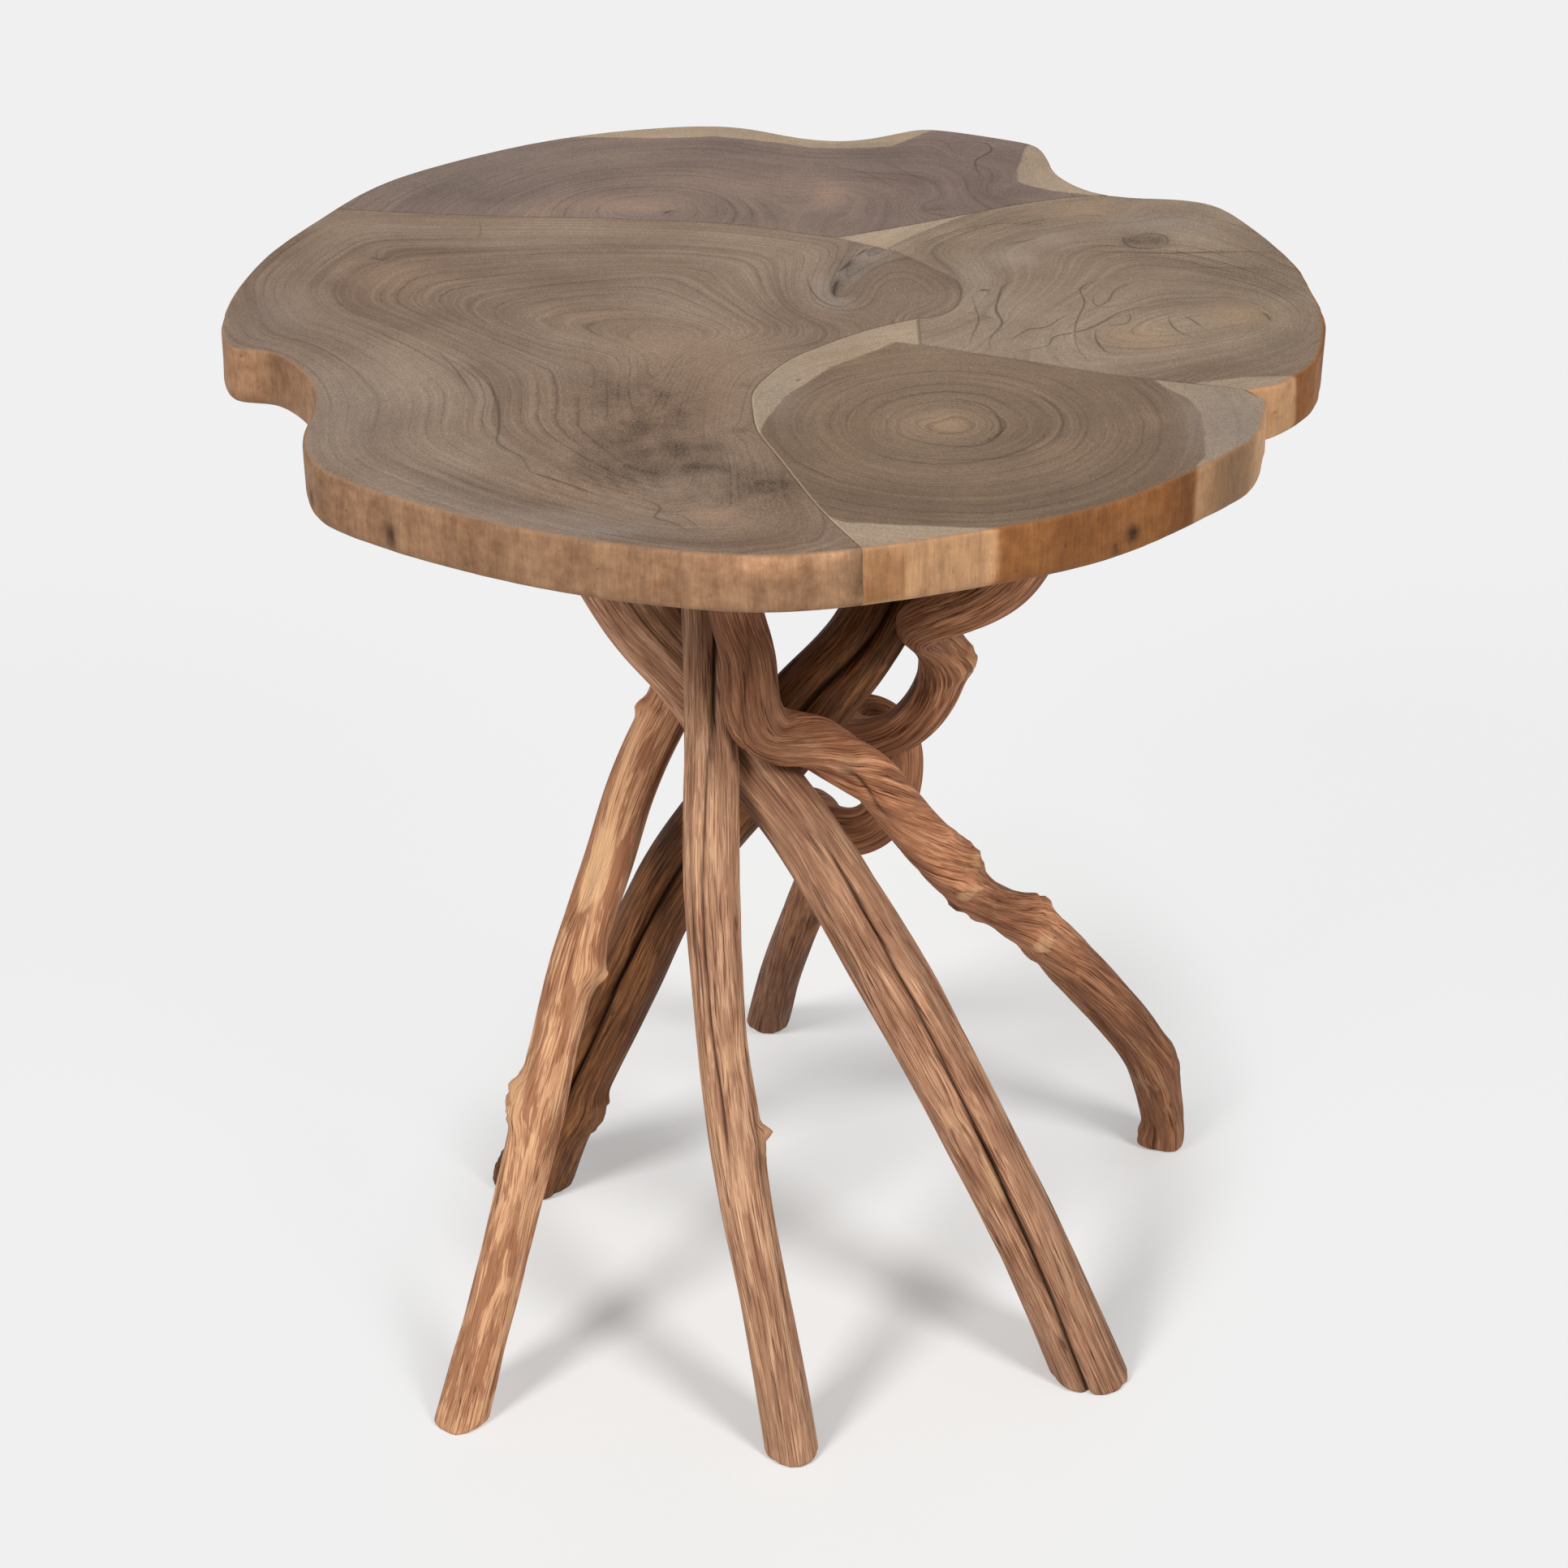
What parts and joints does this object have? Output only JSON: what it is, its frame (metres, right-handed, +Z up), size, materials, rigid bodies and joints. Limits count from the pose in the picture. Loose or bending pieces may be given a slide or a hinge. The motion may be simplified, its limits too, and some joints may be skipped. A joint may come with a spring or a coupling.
{
  "type": "teak root side table",
  "caption": "Rustic side table: an irregular live-edge top of joined teak root slices on peeled branches and twisted vines that cross in an hourglass.",
  "frame": {"origin": "on the floor under the middle of the top's bounding box", "axes": "+Z up; the pictured front faces -Y, +X to the viewer's right"},
  "size_m": [0.501, 0.5066, 0.51],
  "materials": {
    "teak_back": "matte oiled teak",
    "teak_left": "matte oiled teak",
    "teak_right": "matte oiled teak",
    "teak_front": "matte oiled teak",
    "teak_sapwood": "matte oiled teak",
    "dowel_wood": "plain turned hardwood",
    "branch_front_left": "peeled branch, dry and fibrous",
    "branch_front_right": "peeled branch, dry and fibrous",
    "branch_front": "peeled branch, dry and fibrous",
    "branch_rear_left": "peeled branch, dry and fibrous",
    "branch_vine_right": "peeled branch, dry and fibrous",
    "branch_vine_rear": "peeled branch, dry and fibrous",
    "screw_steel": "plain steel"
  },
  "bodies": {
    "root": {"slab_back": "teak_back", "slab_left": "teak_left", "slab_right": "teak_right", "slab_front": "teak_front", "wedge": "teak_sapwood", "leg_front_left": "branch_front_left", "leg_front_right": "branch_front_right", "leg_front": "branch_front", "leg_rear_left": "branch_rear_left", "vine_leg_right": "branch_vine_right", "vine_leg_rear": "branch_vine_rear", "dowel_back_left_1": "dowel_wood", "dowel_back_left_2": "dowel_wood", "dowel_back_left_3": "dowel_wood", "dowel_back_right_1": "dowel_wood", "dowel_tongue_1": "dowel_wood", "dowel_tongue_2": "dowel_wood", "dowel_left_front_1": "dowel_wood", "dowel_left_front_2": "dowel_wood", "dowel_left_front_3": "dowel_wood", "dowel_front_right_1": "dowel_wood", "dowel_front_right_2": "dowel_wood", "dowel_wedge_back_1": "dowel_wood", "screw_front_left": "screw_steel", "screw_front": "screw_steel", "screw_rear_left": "screw_steel", "screw_vine_right": "screw_steel", "screw_vine_rear": "screw_steel"}
  },
  "joints": []
}
